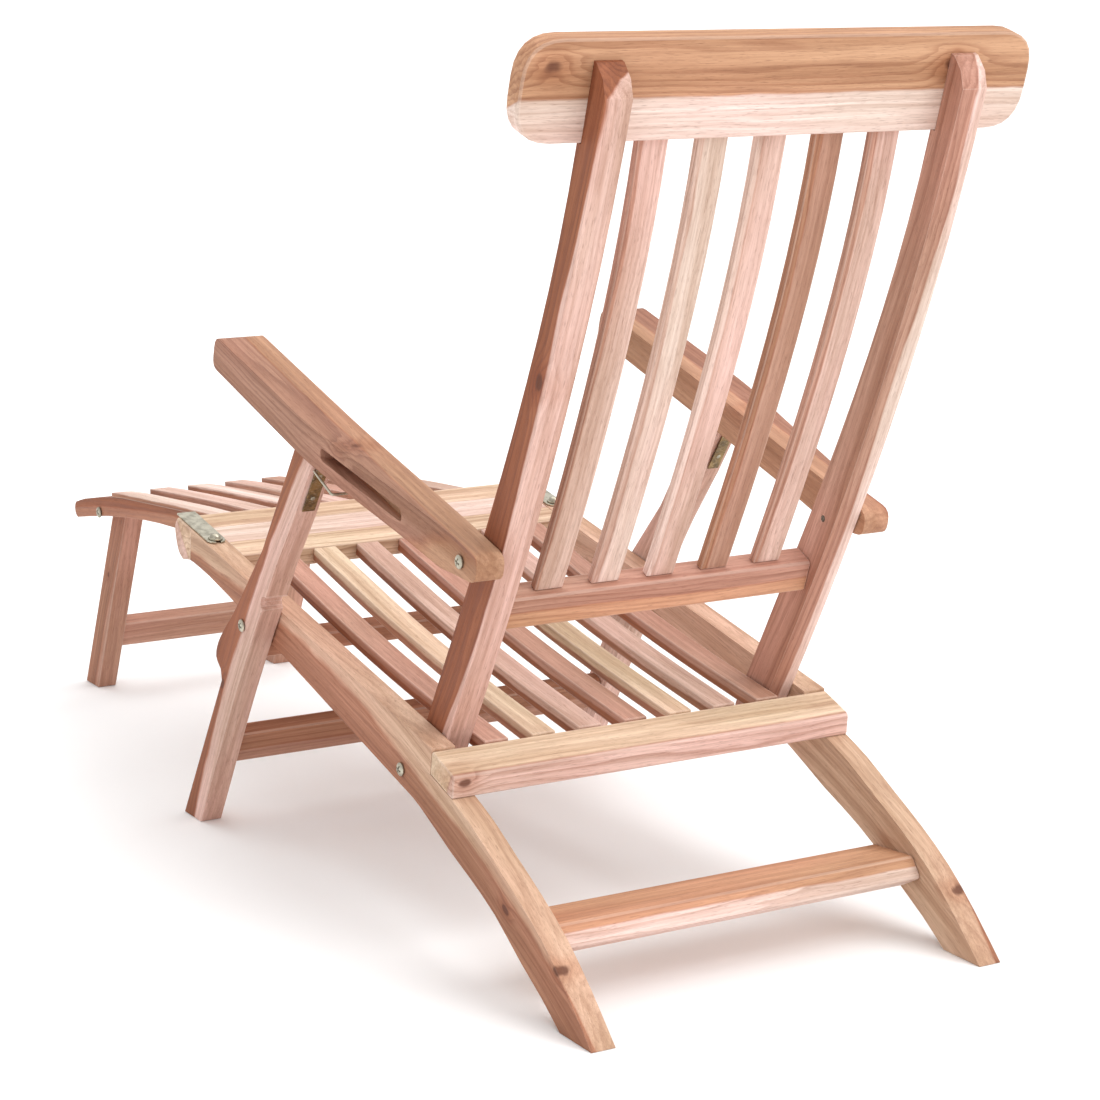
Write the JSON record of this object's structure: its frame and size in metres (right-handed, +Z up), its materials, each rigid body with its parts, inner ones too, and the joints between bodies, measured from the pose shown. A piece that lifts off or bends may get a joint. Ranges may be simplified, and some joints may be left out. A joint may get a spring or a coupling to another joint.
{
  "type": "folding deck chair",
  "caption": "Slatted teak steamer chair with a reclining curved back, lifting armrests, folding front legs and a hook-on footrest with folding legs.",
  "frame": {"origin": "centre of the footprint's bounding box, on the ground", "axes": "+X towards the sitter's left, -Y towards the footrest, +Y towards the back, +Z up"},
  "size_m": [0.5866, 1.565, 0.9627],
  "materials": {
    "teak_cream": "raw sanded teak, cream sapwood",
    "teak_pink": "raw sanded teak, pale pink-brown",
    "teak_brown": "raw sanded teak, dark heartwood",
    "teak_orange": "raw sanded teak, orange-brown heartwood",
    "zinc_steel": "zinc-plated steel",
    "brass_plate": "plain brass"
  },
  "bodies": {
    "seat_frame": {"side_rail_left": "teak_cream", "side_rail_right": "teak_cream", "front_cross_rail": "teak_pink", "rear_cross_rail": "teak_cream", "rear_stretcher": "teak_orange", "seat_slat_1": "teak_brown", "seat_slat_2": "teak_brown", "seat_slat_3": "teak_brown", "seat_slat_4": "teak_brown", "seat_slat_5": "teak_brown", "seat_slat_6": "teak_brown", "seat_slat_7": "teak_brown", "strap_screw_left": "zinc_steel", "strap_screw_right": "zinc_steel", "back_bolt_left": "zinc_steel", "back_bolt_right": "zinc_steel"},
    "back_frame": {"back_stile_left": "teak_pink", "back_stile_right": "teak_pink", "head_rail": "teak_orange", "lower_back_rail": "teak_orange", "back_slat_1": "teak_pink", "back_slat_2": "teak_pink", "back_slat_3": "teak_pink", "back_slat_4": "teak_pink", "back_slat_5": "teak_pink", "armrest_bolt_left": "zinc_steel", "armrest_bolt_right": "zinc_steel"},
    "armrest_left": {"armrest_left": "teak_orange"},
    "armrest_right": {"armrest_right": "teak_orange"},
    "front_legs": {"front_leg_left": "teak_pink", "front_leg_right": "teak_pink", "front_leg_stretcher": "teak_brown", "under_seat_bar": "teak_brown", "catch_plate_left": "brass_plate", "catch_plate_right": "brass_plate", "front_leg_bolt_left": "zinc_steel", "front_leg_bolt_right": "zinc_steel"},
    "bail_left": {"wire_bail_left": "zinc_steel"},
    "bail_right": {"wire_bail_right": "zinc_steel"},
    "footrest": {"footrest_rail_left": "teak_brown", "footrest_rail_right": "teak_brown", "footrest_hook_rail": "teak_pink", "footrest_front_rail": "teak_brown", "footrest_slat_1": "teak_pink", "footrest_slat_2": "teak_pink", "footrest_slat_3": "teak_pink", "footrest_slat_4": "teak_pink", "footrest_slat_5": "teak_pink", "footrest_slat_6": "teak_pink", "footrest_slat_7": "teak_pink", "strap_plate_left": "zinc_steel", "strap_plate_right": "zinc_steel", "footrest_bolt_left": "zinc_steel", "footrest_bolt_right": "zinc_steel"},
    "footrest_legs": {"footrest_leg_left": "teak_pink", "footrest_leg_right": "teak_pink", "footrest_leg_stretcher": "teak_brown"}
  },
  "joints": [
    {"name": "front_leg_fold", "type": "hinge", "parent": "seat_frame", "child": "front_legs", "pos_m": [0, 0.0535, 0.272], "axis": [1, 0, 0], "range_deg": [0, 30]},
    {"name": "back_fold", "type": "hinge", "parent": "seat_frame", "child": "back_frame", "pos_m": [0, 0.3915, 0.183], "axis": [1, 0, 0], "range_deg": [0, 41]},
    {"name": "armrest_lift_left", "type": "hinge", "parent": "back_frame", "child": "armrest_left", "pos_m": [0.2375, 0.5311, 0.435], "axis": [-1, 0, 0], "range_deg": [0, 73]},
    {"name": "bail_drop_left", "type": "hinge", "parent": "front_legs", "child": "bail_left", "pos_m": [0.2655, 0.24387, 0.48386], "axis": [-1, 0, 0], "range_deg": [0, 70]},
    {"name": "armrest_lift_right", "type": "hinge", "parent": "back_frame", "child": "armrest_right", "pos_m": [-0.2375, 0.5311, 0.435], "axis": [-1, 0, 0], "range_deg": [0, 73]},
    {"name": "bail_drop_right", "type": "hinge", "parent": "front_legs", "child": "bail_right", "pos_m": [-0.2655, 0.24387, 0.48386], "axis": [-1, 0, 0], "range_deg": [0, 70]},
    {"name": "footrest_unhook", "type": "slide", "parent": "seat_frame", "child": "footrest", "axis": [0, -0.9811, 0.1933], "range_m": [0, 0.03]},
    {"name": "footrest_leg_fold", "type": "hinge", "parent": "footrest", "child": "footrest_legs", "pos_m": [0, -0.6355, 0.275], "axis": [1, 0, 0], "range_deg": [0, 95]}
  ],
  "couplings": [
    {"joint": "back_fold", "follows": "front_leg_fold", "ratio": 1.3333},
    {"joint": "armrest_lift_left", "follows": "front_leg_fold", "ratio": 2.4},
    {"joint": "armrest_lift_right", "follows": "front_leg_fold", "ratio": 2.4}
  ]
}
